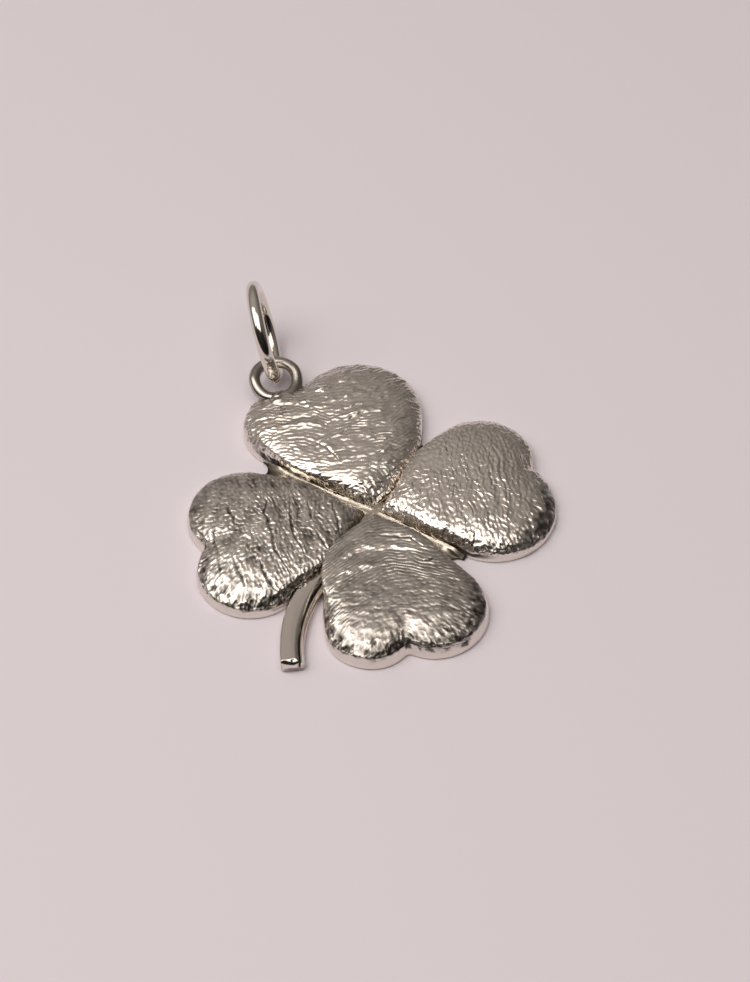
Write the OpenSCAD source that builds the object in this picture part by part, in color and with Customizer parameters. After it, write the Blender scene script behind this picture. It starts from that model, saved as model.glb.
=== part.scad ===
// Four leaf clover pendant, cast in one piece, with a jump ring through its eye.
// Millimetres. The clover lies on its flat back at z = 0, its centre is the origin,
// and +Y points along the leaf that carries the eye.

/* [Leaves] */
// Radius of a lobe of a leaf
lobe_r = 3.6; // [3.2:0.1:4.2]
// Distance from the middle of the clover to the middle of a lobe, along the leaf
lobe_reach = 8.8; // [7.8:0.1:11]
// Half the distance between the middles of a leaf's two lobes
lobe_spread = 2.3; // [2:0.1:2.8]
// Distance from the middle of the clover to the tip of a leaf
tip_reach = 1; // [0.6:0.1:1.6]
// Radius at the bottom of the notch between the lobes
notch_r = 0.45; // [0.2:0.05:0.8]
// Height of the smooth side wall
wall_h = 0.93; // [0.7:0.01:1.4]
// How far the foot of the wall stands out past its top, at the far end of a leaf
wall_flare = 0.3; // [0:0.05:0.5]
// Height of the dome above the wall
crown_h = 1.15; // [0.8:0.05:2]
// Bevel round the back edge
back_bevel = 0.1; // [0.02:0.01:0.2]

/* [Valleys] */
// Height of the smooth metal that joins two leaves
valley_h = 0.62; // [0.4:0.01:0.9]
// Width of that metal at its outer end, where the leaves cover its corners
valley_w = 3.2; // [2.6:0.1:3.6]
// Width of that metal at the middle of the clover
valley_in_w = 1.6; // [1.2:0.1:2.4]
// Radius of the hollow in its outer end
crotch_r = 0.7; // [0.4:0.1:1]
// Radius of the smooth middle of the clover
hub_r = 1.8; // [1.2:0.1:2.5]
// Radius of the flat spot under the middle, on which the clover lies with its leaves
hub_foot_r = 0.5; // [0.3:0.05:0.6]

/* [Stem] */
// Width of the stem
stem_w = 1.65; // [1.2:0.05:2.2]
// Height of the stem
stem_h = 1.1; // [0.8:0.05:1.6]
// Radius of the stem's bend
stem_bend_r = 10.5; // [9:0.1:13]
// Length of the stem along its bend, from inside the clover to its cut end
stem_len = 11.7; // [9:0.1:14]
// Height that is left at the cut end
stem_tip_h = 0.5; // [0.3:0.05:0.7]
// Length of the slope at the cut end
stem_slope = 0.55; // [0.3:0.05:1]
// Diameter of the bead along one side of the stem
bead_d = 0.34; // [0.2:0.02:0.5]

/* [Eye] */
// Diameter of the hole in the eye
eye_hole_d = 2.2; // [2:0.05:3.2]
// Thickness of the eye's wire
eye_wire_d = 0.8; // [0.5:0.02:0.9]
// Turn of the eye from its leaf's direction, in degrees
eye_turn = -8.5; // [-20:0.5:10]

/* [Jump ring] */
// Outer diameter of the jump ring
ring_d = 7.5; // [6.4:0.1:10]
// Thickness of the jump ring's wire
ring_wire_d = 0.96; // [0.7:0.02:1.1]
// Lean of the jump ring from upright, in degrees
ring_lean = 12; // [0:0.5:20]
// Turn of the jump ring from the eye's own direction, in degrees
ring_turn = -8.5; // [-15:0.5:15]
// Angle between the ring's lowest point and the eye's wire, seen from the ring's middle
ring_lay = 28; // [20:0.5:38]
// Gap between the jump ring and the eye
ring_gap = 0.06; // [0.03:0.01:0.2]
// Gap between the jump ring and the wall of the leaf
leaf_gap = 0.16; // [0.15:0.01:0.6]
// Gap between the jump ring and the surface that the clover lies on
floor_gap = 0.02; // [0.01:0.01:0.1]

/* [Hidden] */

// One row for each leaf: its direction in degrees, then the reach and the shift sideways of
// its tip, the height of its dome and the radius of its notch as shares of the sizes above,
// then its right and its left lobe, seen with the tip below.
LEAF_DIR = 0;
LEAF_TIP = 1;
LEAF_SHIFT = 2;
LEAF_DOME = 3;
LEAF_NOTCH = 4;
LEAF_RIGHT = 5;
LEAF_LEFT = 6;
// A lobe holds its radius, its reach, its spread and its flare as shares of the sizes above,
// and the flatness of the side that runs from the tip to it: 1 is a half circle, 9 nearly
// straight.
LOBE_R = 0;
LOBE_REACH = 1;
LOBE_SPREAD = 2;
LOBE_FLARE = 3;
LOBE_FLAT = 4;
LEAVES = [
    [94, -0.14, 0.03, 1.00, 7, [1.21, 0.89, 1.19, 0.4, 1.47], [0.90, 0.99, 0.91, 0.4, 7.4]],
    [-9, 0.57, 0.6, 1.00, 1, [1.18, 0.94, 0.82, 0.4, 7.4], [0.98, 0.95, 0.96, 0.4, 10.7]],
    [-105, 1.09, -0.12, 0.94, 1, [0.79, 1.17, 0.51, 0.65, 1.83], [0.97, 1.03, 1.42, 1.85, 5.9]],
    [184, 0.71, -0.57, 1.00, 1, [1.00, 0.95, 1.24, 0.6, 5.5], [1.00, 1.09, 0.71, 0.6, 7.1]]
];
EYE_LEAF = 0;

// One row for each joined valley: its direction in degrees, and its length as a share of lobe_reach
VALLEYS = [[36, 0.78], [-60, 0.8], [134, 0.9], [221, 0.5]];

// Steps along the side of a leaf, round a lobe and round a notch
side_steps = 9;
lobe_steps = 20;
notch_steps = 4;
stem_steps = 16;

// Rings of the dome, from its rim to its top: the share of the outline's size at each
dome_steps = [0.985, 0.95, 0.88, 0.78, 0.64, 0.46, 0.24];
// Powers of the dome's curve: high and steep at the rim, flat on top
dome_p = 3.4;
dome_q = 0.5;
// Flare at the sides of a leaf, as a share of that at its far end
flare_side = 0.45;
// Power by which the notch fades out over the dome: high is soon
notch_fade = 4;
// Share of lobe_reach at which the dome is highest
peak_share = 0.72;
// Half width and half length of the plain oval that the dome's upper rings turn into
oval_w_share = 1;
oval_far_share = 0.52;
oval_near_share = 0.62;

// Middle of the bend of the stem, and the angle on it at which the stem begins
stem_mid = [0.07 * lobe_reach, -0.31 * lobe_reach - stem_bend_r];
stem_from = 103;
// Bevel along the upper edges of the stem and its bead, as a share of their widths
stem_bevel = 0.18;
// The bead's top stands this far above the stem
bead_rise = 0.08;

function turned(p, a) = [p[0] * cos(a) - p[1] * sin(a), p[0] * sin(a) + p[1] * cos(a)];
function dir(v) = v / norm(v);

// Meeting point of circle p, r and circle q, s, on the left of the way from p to q for side 1
function meet(p, r, q, s, side) =
    let (d = norm(q - p), a = (r * r - s * s + d * d) / (2 * d), u = dir(q - p))
    p + u * a + side * sqrt(r * r - a * a) * [-u[1], u[0]];

// Arc round c from p to q, without its last point, anticlockwise for turn 1
function arc(c, p, q, steps, turn) =
    let (r = norm(p - c), a = atan2(p[1] - c[1], p[0] - c[0]), b = atan2(q[1] - c[1], q[0] - c[0]))
    let (sweep = turn * ((turn * (b - a) % 360 + 360) % 360))
    [for (i = [0:steps - 1]) c + r * [cos(a + sweep * i / steps), sin(a + sweep * i / steps)]];

// Middle of a lobe: hand is 1 for the right one and -1 for the left one
function lobe_mid(lobe, hand) = [hand * lobe_spread * lobe[LOBE_SPREAD], lobe_reach * lobe[LOBE_REACH]];

// Heart outline of a leaf, pointing along +Y: side arc, lobe, notch, lobe, side arc
function heart(leaf) =
    let (tip = tip_reach * [leaf[LEAF_SHIFT], leaf[LEAF_TIP]], right = leaf[LEAF_RIGHT], left = leaf[LEAF_LEFT])
    let (r = lobe_mid(right, 1), l = lobe_mid(left, -1))
    let (rr = lobe_r * right[LOBE_R], lr = lobe_r * left[LOBE_R])
    let (rs = right[LOBE_FLAT] * (norm(r - tip) + rr) / 2, ls = left[LOBE_FLAT] * (norm(l - tip) + lr) / 2)
    let (rc = meet(tip, rs, r, rs - rr, 1), lc = meet(tip, ls, l, ls - lr, -1))
    let (rt = rc + rs * dir(r - rc), lt = lc + ls * dir(l - lc))
    let (nr = notch_r * leaf[LEAF_NOTCH], n = meet(r, rr + nr, l, lr + nr, -1))
    let (rn = r + rr * dir(n - r), ln = l + lr * dir(n - l))
    concat(
        arc(rc, tip, rt, side_steps, 1),
        arc(r, rt, rn, lobe_steps, 1),
        arc(n, rn, ln, notch_steps, -1),
        arc(l, ln, lt, lobe_steps, 1),
        arc(lc, lt, tip, side_steps, 1)
    );

// Height above the wall of a ring at share u of the way from the top of the dome to its rim
function dome(u) = crown_h * pow(1 - pow(u, dome_p), dome_q);

// Distance from the top of the dome to the oval, in direction v
function oval(v) =
    let (a = (lobe_spread + lobe_r) * oval_w_share)
    let (b = lobe_reach * (v[1] > 0 ? oval_far_share : oval_near_share))
    1 / norm([v[0] / a, v[1] / b]);

// A ring of the dome: the outline drawn in to share u, its notch fading into the oval
function dome_ring(outline, peak, u) =
    [for (p = outline)
        let (v = p - peak, w = dir(v), fade = 1 - pow(u, notch_fade))
        peak + u * (norm(v) + fade * (oval(w) - norm(v))) * w];

// The outline moved out by its flare and by d, away from the top of the dome
function foot(leaf, outline, peak, d) =
    [for (p = outline)
        let (w = dir(p - peak), side = max(-1, min(1, p[0] / lobe_spread)))
        let (share = (leaf[LEAF_RIGHT][LOBE_FLARE] * (1 + side) + leaf[LEAF_LEFT][LOBE_FLARE] * (1 - side)) / 2)
        p + (d + wall_flare * share * (flare_side + (1 - flare_side) * max(0, w[1]))) * w];

function at_height(ring, z) = [for (p = ring) [p[0], p[1], z]];

// Closed solid of a leaf: flat back, bevel, wall and dome, then the top point
module leaf(row) {
    outline = heart(row);
    n = len(outline);
    peak = [0, lobe_reach * peak_share];
    rings = concat(
        [at_height(foot(row, outline, peak, -back_bevel), 0)],
        [at_height(foot(row, outline, peak, 0), back_bevel)],
        [at_height(outline, wall_h)],
        [for (u = dome_steps) at_height(dome_ring(outline, peak, u), wall_h + row[LEAF_DOME] * dome(u))]
    );
    last = len(rings) - 1;
    points = concat([for (ring = rings) each ring], [[peak[0], peak[1], wall_h + row[LEAF_DOME] * dome(0)]]);
    sides = [for (k = [0:last - 1], i = [0:n - 1], half = [0, 1])
        let (j = (i + 1) % n)
        half == 0 ? [k * n + i, (k + 1) * n + j, k * n + j] : [k * n + i, (k + 1) * n + i, (k + 1) * n + j]];
    cap = [for (i = [0:n - 1]) [last * n + i, len(points) - 1, last * n + (i + 1) % n]];
    back = [[for (i = [0:n - 1]) i]];
    rotate(row[LEAF_DIR] - 90)
        polyhedron(points, concat(sides, cap, back), convexity = 4);
}

// Smooth metal between the leaves: a middle and a wedge for each valley, with a round hollow
// in the wedge's end where the two leaves part
module valleys() {
    cylinder(r = hub_foot_r, h = valley_h, $fn = 32);
    translate([0, 0, back_bevel]) linear_extrude(valley_h - back_bevel) {
        circle(r = hub_r, $fn = 48);
        for (v = VALLEYS)
            rotate(v[0]) difference() {
                end = lobe_reach * v[1] + crotch_r;
                half = [valley_in_w / 2, valley_w / 2];
                polygon([[0, -half[0]], [end, -half[1]], [end, half[1]], [0, half[0]]]);
                translate([end, 0]) circle(r = crotch_r, $fn = 32);
            }
    }
}

function stem_angle(s) = stem_from + s / stem_bend_r * 180 / PI;

// Places what follows on the stem at length s, at distance r from the middle of the bend
module on_stem(s, r) {
    translate([each stem_mid]) rotate(stem_angle(s)) translate([r, 0, back_bevel]) children();
}

// Strip along the stem's bend, flat on top with bevelled upper edges
module strip(r, w, h, bevel) {
    for (i = [0:stem_steps - 1])
        hull()
            for (k = [i, i + 1])
                on_stem((stem_len + stem_w) * k / stem_steps, r) {
                    cylinder(d = w, h = h - back_bevel - bevel, $fn = 32);
                    cylinder(d = w - 2 * bevel, h = h - back_bevel, $fn = 32);
                }
}

// Curved stem with the bead along its inner side, cut off square and then sloped at its end
module stem() {
    slope = atan2(stem_h - stem_tip_h, stem_slope);
    difference() {
        union() {
            strip(stem_bend_r, stem_w, stem_h, stem_w * stem_bevel);
            strip(stem_bend_r - (stem_w - bead_d) / 2, bead_d, stem_h + bead_rise, bead_d * stem_bevel);
        }
        on_stem(stem_len, stem_bend_r)
            translate([-stem_w, 0, -stem_h]) cube([stem_w * 2, stem_w * 2, stem_h * 3]);
        on_stem(stem_len, stem_bend_r)
            translate([-stem_w, 0, stem_tip_h - back_bevel]) rotate([-slope, 0, 0])
                translate([0, -stem_w, 0]) cube([stem_w * 2, stem_w * 2, stem_h * 2]);
    }
}

// Ring and eye, worked out in the upright plane that both share: s runs outwards from the
// middle of the eye, and the jump ring's lowest point clears the surface by floor_gap.
eye_r = (eye_hole_d + eye_wire_d) / 2;
ring_r = (ring_d - ring_wire_d) / 2;
hold = ring_r - (ring_wire_d + eye_wire_d) / 2 - ring_gap;
ring_z = ring_r + ring_wire_d / 2 + floor_gap;
eye_z = ring_z - hold * cos(ring_lay);
ring_s = eye_r + hold * sin(ring_lay);
ring_cross = ring_s - sqrt(pow(ring_r, 2) - pow(ring_z - eye_z, 2));
eye_out = leaf_gap + ring_wire_d / 2 - ring_cross;

// Place of the eye: past the far side of the left lobe of its leaf
eye_row = LEAVES[EYE_LEAF];
eye_lobe = eye_row[LEAF_LEFT];
eye_lobe_mid = turned(lobe_mid(eye_lobe, -1), eye_row[LEAF_DIR] - 90);
eye_dir = eye_row[LEAF_DIR] + eye_turn;
eye_mid = eye_lobe_mid + turned([lobe_r * eye_lobe[LOBE_R] + eye_out, 0], eye_dir);

// Eye on a foot that stands inside the lobe
module eye() {
    foot = eye_r - eye_out + eye_wire_d / 2;
    translate([eye_mid[0], eye_mid[1], eye_z])
        rotate_extrude($fn = 48) translate([eye_r, 0]) circle(d = eye_wire_d, $fn = 14);
    translate([eye_mid[0], eye_mid[1], 0]) rotate(eye_dir)
        hull() {
            translate([-eye_r - eye_wire_d / 2, 0, back_bevel]) cylinder(d = eye_wire_d, h = eye_z, $fn = 24);
            translate([-eye_out - foot, 0, back_bevel]) cylinder(d = foot, h = wall_h / 2, $fn = 24);
        }
}

module clover() {
    color("silver") union() {
        for (row = LEAVES)
            leaf(row);
        valleys();
        stem();
        eye();
    }
}

module jump_ring() {
    color("lightgray")
        translate([eye_mid[0], eye_mid[1], eye_z]) rotate(eye_dir + ring_turn) rotate([-ring_lean, 0, 0])
            translate([ring_s, 0, ring_z - eye_z]) rotate([90, 0, 0])
                rotate_extrude($fn = 96) translate([ring_r, 0]) circle(d = ring_wire_d, $fn = 24);
}

clover();
jump_ring();
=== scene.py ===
import math
import bpy
import numpy as np
from mathutils import Matrix


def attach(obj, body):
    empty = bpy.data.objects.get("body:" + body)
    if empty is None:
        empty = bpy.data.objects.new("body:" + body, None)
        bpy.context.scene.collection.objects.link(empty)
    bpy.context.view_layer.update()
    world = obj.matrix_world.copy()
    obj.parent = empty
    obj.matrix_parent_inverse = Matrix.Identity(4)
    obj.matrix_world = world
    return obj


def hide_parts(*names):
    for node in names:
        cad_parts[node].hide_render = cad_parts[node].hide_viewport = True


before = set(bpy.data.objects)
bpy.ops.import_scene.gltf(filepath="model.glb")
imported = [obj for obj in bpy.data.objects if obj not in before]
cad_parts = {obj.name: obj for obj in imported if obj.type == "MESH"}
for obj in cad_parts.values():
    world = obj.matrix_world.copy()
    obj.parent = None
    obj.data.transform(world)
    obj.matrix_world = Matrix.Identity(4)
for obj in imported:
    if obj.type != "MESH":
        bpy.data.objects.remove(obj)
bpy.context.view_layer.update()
mm = 0.001
print("frame loaded:", sorted(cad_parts))

# Shape helpers, in millimetres


def unit(v):
    # each vector divided by its own length
    return v / np.linalg.norm(v, axis=-1, keepdims=True)


def smooth(zeroAt, oneAt, x):
    # 0 up to zeroAt, 1 from oneAt on, and an s-curve between them; either may be the larger
    t = np.clip((x - zeroAt) / (oneAt - zeroAt), 0, 1)
    return t * t * (3 - 2 * t)


def noise(x, y, wide, tall, seed):
    # gradient noise with lumps of wide by tall: each lattice point holds a random direction, and
    # the dot products with the way to the four nearest points are blended with s-curves
    lattice = 256
    turns = np.random.default_rng(seed).uniform(0, 2 * np.pi, (lattice, lattice))
    x, y = x / wide, y / tall
    xi, yi = np.floor(x).astype(int), np.floor(y).astype(int)
    xf, yf = x - xi, y - yi
    u, v = xf * xf * (3 - 2 * xf), yf * yf * (3 - 2 * yf)

    def corner(dx, dy):
        a = turns[(xi + dx) % lattice, (yi + dy) % lattice]
        return np.cos(a) * (xf - dx) + np.sin(a) * (yf - dy)

    low = corner(0, 0) * (1 - u) + corner(1, 0) * u
    high = corner(0, 1) * (1 - u) + corner(1, 1) * u
    return 1.45 * (low * (1 - v) + high * v)  # the factor brings it to about -1 to 1


def turned(points, degrees):
    # x and y turned anticlockwise; z, where there is one, stays
    a = math.radians(degrees)
    x, y = points[..., 0], points[..., 1]
    level = [x * math.cos(a) - y * math.sin(a), x * math.sin(a) + y * math.cos(a)]
    return np.stack(level + [points[..., k] for k in range(2, points.shape[-1])], -1)


def addToScene(name, data):
    added = bpy.data.objects.new(name, data)
    bpy.context.scene.collection.objects.link(added)
    return added


def addMesh(name, points, faces, materials, faceMaterial=None, wearAndShade=None):
    # points in millimetres; faces point outwards; one number for each point gives the metal's wear, with
    # painted shade in places
    mesh = bpy.data.meshes.new(name)
    mesh.from_pydata((np.asarray(points) * mm).tolist(), [], faces)
    mesh.polygons.foreach_set("use_smooth", np.ones(len(faces), bool))
    for material in materials:
        mesh.materials.append(material)
    if faceMaterial is not None:
        mesh.polygons.foreach_set("material_index", np.asarray(faceMaterial, np.int32))
    if wearAndShade is not None:
        layer = mesh.attributes.new("wearAndShade", "FLOAT", "POINT")
        layer.data.foreach_set("value", np.asarray(wearAndShade, np.float32))
    mesh.update()
    return addToScene(name, mesh)


def gridFaces(rows, columns, closeRows=False):
    # quads of a grid whose columns run round and close; rows close too on a torus
    last = rows if closeRows else rows - 1
    r, c = np.meshgrid(np.arange(last), np.arange(columns), indexing="ij")
    below, beside = (r + 1) % rows, (c + 1) % columns
    corners = [r * columns + c, below * columns + c, below * columns + beside, r * columns + beside]
    return np.stack(corners, -1).reshape(-1, 4).tolist()


def closedFaces(rows, columns):
    # the grid's quads, then triangles from the first row and from the last to the two points
    # that come after the grid's own, so that both ends are closed
    c = np.arange(columns)
    beside = (c + 1) % columns
    lastRow = (rows - 1) * columns
    first = np.stack([np.full(columns, rows * columns), c, beside], -1)
    last = np.stack([np.full(columns, rows * columns + 1), lastRow + beside, lastRow + c], -1)
    return [*gridFaces(rows, columns), *first.tolist(), *last.tolist()]


# Materials


def linear(hexColour):
    # sRGB hex to linear red, green, blue, alpha
    parts = [int(hexColour[i:i + 2], 16) / 255 for i in (1, 3, 5)]
    return tuple(p / 12.92 if p <= 0.04045 else ((p + 0.055) / 1.055) ** 2.4 for p in parts) + (1.0,)


def startMaterial(name):
    # a node material with no nodes yet
    material = bpy.data.materials.new(name)
    material.use_nodes = True
    material.node_tree.nodes.clear()
    return material


def addNode(tree, kind, settings=None, inputs=None):
    # one node, its settings, and its inputs: a socket is linked, anything else is a value
    node = tree.nodes.new(kind)
    for key, value in (settings or {}).items():
        setattr(node, key, value)
    for key, value in (inputs or {}).items():
        if isinstance(value, bpy.types.NodeSocket):
            tree.links.new(value, node.inputs[key])
        else:
            node.inputs[key].default_value = value
    return node


castSterlingLook = {
    "silver": "#e9e2da",  # bare sterling silver
    "tarnish": "#54514c",  # dull oxide left in the furrows
    "oxideUpTo": 0.3,  # wear up to which oxide covers the metal
    "bareFrom": 0.75,  # wear from which the silver is bare
    "glossFrom": 0.9,  # and from which it is as smooth as it gets
    "roughness": 0.25,
    "oxideRougher": 0.14,
    "blotchMm": 1.6,  # size of the patches that were rubbed more or less
    "blotchShare": 0.35,
    "scratchMm": 0.16,  # spacing of the file marks, as coarse as the render shows
    "scratchDepth": 0.012,
    "scratchStrength": 0.5,
}


def castSterling(name, look):
    # Sterling silver as cast and then brushed: crests catch the light, furrows stay dull
    material = startMaterial(name)
    tree = material.node_tree
    place = addNode(tree, "ShaderNodeTexCoord")
    # the points' wear, with painted shade in places, sets how bare the silver is
    wearAndShade = addNode(tree, "ShaderNodeAttribute", {"attribute_name": "wearAndShade"})
    blotch = addNode(tree, "ShaderNodeTexNoise", {},
                     {"Vector": place.outputs["Object"], "Scale": 1 / (look["blotchMm"] * mm), "Detail": 4})
    share = addNode(tree, "ShaderNodeMath", {"operation": "MULTIPLY_ADD"},
                    {0: blotch.outputs["Fac"], 1: look["blotchShare"], 2: wearAndShade.outputs["Fac"]})
    tone = addNode(tree, "ShaderNodeValToRGB", {}, {"Fac": share.outputs["Value"]})
    tone.color_ramp.elements[0].position = look["oxideUpTo"]
    tone.color_ramp.elements[0].color = linear(look["tarnish"])
    tone.color_ramp.elements[1].position = look["bareFrom"]
    tone.color_ramp.elements[1].color = linear(look["silver"])
    dull = addNode(tree, "ShaderNodeMapRange", {},
                   {"Value": share.outputs["Value"],
                    "From Min": look["oxideUpTo"], "To Min": look["roughness"] + look["oxideRougher"],
                    "From Max": look["glossFrom"], "To Max": look["roughness"]})
    marks = addNode(tree, "ShaderNodeTexNoise", {},
                    {"Vector": place.outputs["Object"], "Scale": 1 / (look["scratchMm"] * mm), "Detail": 3})
    bump = addNode(tree, "ShaderNodeBump", {},
                   {"Height": marks.outputs["Fac"], "Strength": look["scratchStrength"],
                    "Distance": look["scratchDepth"] * mm})
    shader = addNode(tree, "ShaderNodeBsdfPrincipled", {},
                     {"Base Color": tone.outputs["Color"], "Metallic": 1.0,
                      "Roughness": dull.outputs["Result"], "Normal": bump.outputs["Normal"]})
    addNode(tree, "ShaderNodeOutputMaterial", {}, {"Surface": shader.outputs["BSDF"]})
    return material


polishedSterlingLook = {
    "silver": "#e5dfd6",
    "roughness": 0.13,
    "clearer": 0.03,  # how far the swirls take the roughness down
    "hazier": 0.08,  # and up
    "swirlMm": 0.5,  # size of the swirls
    "swirlDepth": 0.006,
    "swirlStrength": 0.5,
}


def polishedSterling(name, look):
    # Sterling silver rubbed smooth by hand: nearly a mirror, with faint swirls and soft dents
    material = startMaterial(name)
    tree = material.node_tree
    place = addNode(tree, "ShaderNodeTexCoord")
    swirl = addNode(tree, "ShaderNodeTexNoise", {},
                    {"Vector": place.outputs["Object"], "Scale": 1 / (look["swirlMm"] * mm), "Detail": 3})
    haze = addNode(tree, "ShaderNodeMapRange", {},
                   {"Value": swirl.outputs["Fac"], "To Min": look["roughness"] - look["clearer"],
                    "To Max": look["roughness"] + look["hazier"]})
    bump = addNode(tree, "ShaderNodeBump", {},
                   {"Height": swirl.outputs["Fac"], "Strength": look["swirlStrength"],
                    "Distance": look["swirlDepth"] * mm})
    shader = addNode(tree, "ShaderNodeBsdfPrincipled", {},
                     {"Base Color": linear(look["silver"]), "Metallic": 1.0,
                      "Roughness": haze.outputs["Result"], "Normal": bump.outputs["Normal"]})
    addNode(tree, "ShaderNodeOutputMaterial", {}, {"Surface": shader.outputs["BSDF"]})
    return material


grooveLook = {**castSterlingLook, "tarnish": "#38332d", "roughness": 0.15, "scratchDepth": 0.004}
satinLook = {**castSterlingLook, "silver": "#d3cabb", "tarnish": "#4a443c", "scratchMm": 0.4,
             "scratchDepth": 0.01}
wireLook = {**polishedSterlingLook, "roughness": 0.08, "swirlMm": 0.8}

barkSilver = castSterling("sterling silver, cast bark", castSterlingLook)
# filed and wiped: glossy where it is rubbed, with nearly black oxide and painted shade in the groove
grooveSilver = castSterling("sterling silver, oxidised groove with painted shade", grooveLook)
smoothSilver = polishedSterling("sterling silver, hand polished", polishedSterlingLook)
# rubbed with fine grit: a warmer, even sheen, painted darker towards its edges as shade
satinSilver = castSterling("sterling silver, satin", satinLook)
# pulled through a die: the sharpest reflections of all
wireSilver = polishedSterling("sterling silver, drawn wire", wireLook)
print("materials made")

# Leaves, each drawn along +Y from the middle and then turned

leafLook = {
    "wallTop": 0.93,
    "bevel": 0.16,  # the back's edge is rounded over
    "peak": 6.34,  # where the dome is highest, along the leaf
    "domeQ": 0.6,  # second power of the dome's curve; each leaf has its first, domeP
    "halfWide": 5.2,  # half a leaf's width, against which the dome's curve is measured
    "notchFade": 4,  # power by which the notch fades out over the dome: high is soon
    "ovalWide": 5.9,  # the dome's rings turn to this oval towards the peak
    "ovalFar": 4.58,
    "ovalNear": 5.46,
    "flareSide": 0.45,  # flare at the sides of a leaf, as a share of that at its far end
    "flareStart": 0.35,  # this share of the flare is there at the wall's top
    "flareIn": 0.6,  # and begins this far in from the rim
    "lobeSpread": 2.3,  # this far from a leaf's middle line one lobe's flare counts alone
    "front": -111,  # degrees, the side of the clover whose rims are the roughest
    "rimWide": 0.7,  # over this width each leaf's rim eases down by its own drop
    "rimRagged": 0.13,  # how far the rim goes up and down along its ragged line
    "raggedIn": 0.3,  # how far in from the rim that is felt
    "wallDent": 0.05,
    "wallSwell": 0.03,  # how far the wall swells out half way down
    "shadedTopTone": 0.08,  # wear value of the walls beside the valleys at their top, kept low as painted shade
    "shadeFadeAtFoot": 0.6,  # and so much more towards their foot, where the painted shade fades
    "freeWear": 0.75,  # of the other walls
    "around": 770,
    "domeRows": 108,
    "wallRows": 9,
    "bevelRows": 6,
}

barkLook = {
    "pebbles": 0.04,  # height of the lumps that follow where the fine lines end
    "mazePitch": 0.43,
    "netPitch": 0.85,
    "crackPitch": 0.9,
    "furrowWide": 0.11,
    "furrowDeep": 0.085,
    "bankWide": 0.34,
    "bankTall": 0.055,
    "creaseWide": 0.09,
    "creaseDeep": 0.045,
    "lipWide": 0.26,
    "lipTall": 0.045,
    "ridgeWide": 0.26,
    "ridgeTall": 0.11,
    "chunk": 0.07,  # height of the coarse lumps at the front rims
    "swell": 0.03,  # and of the soft ones farther in
    "wearPerMm": 5,  # how much more each mm of height is rubbed
}
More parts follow.
